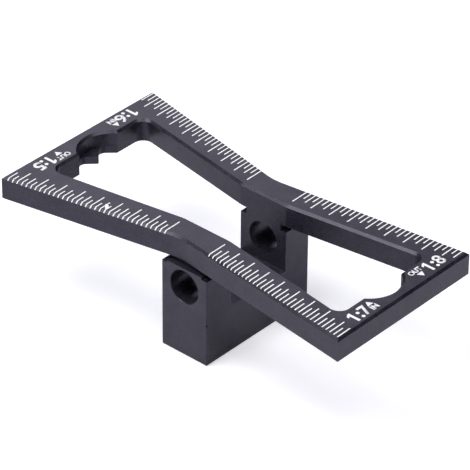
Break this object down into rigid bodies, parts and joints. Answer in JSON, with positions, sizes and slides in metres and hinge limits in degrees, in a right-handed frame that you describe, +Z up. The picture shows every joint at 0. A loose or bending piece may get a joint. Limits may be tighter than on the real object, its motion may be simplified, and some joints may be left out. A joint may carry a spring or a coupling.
{
  "type": "dovetail marker",
  "caption": "Hourglass scale frame on a U-shaped fence, for marking dovetail slopes and square lines on a board's end and face.",
  "frame": {"origin": "centre of the part's footprint, at the foot of the fence", "axes": "+X along the scale frame to its 1:7 and 1:8 end, +Y across it along the cross bore, +Z up from the fence to the scale face"},
  "size_m": [0.129, 0.0666, 0.04],
  "materials": {
    "anodised_aluminium": "bead-blasted, dark grey anodised"
  },
  "bodies": {
    "root": {"marker_body": "anodised_aluminium"}
  },
  "joints": []
}
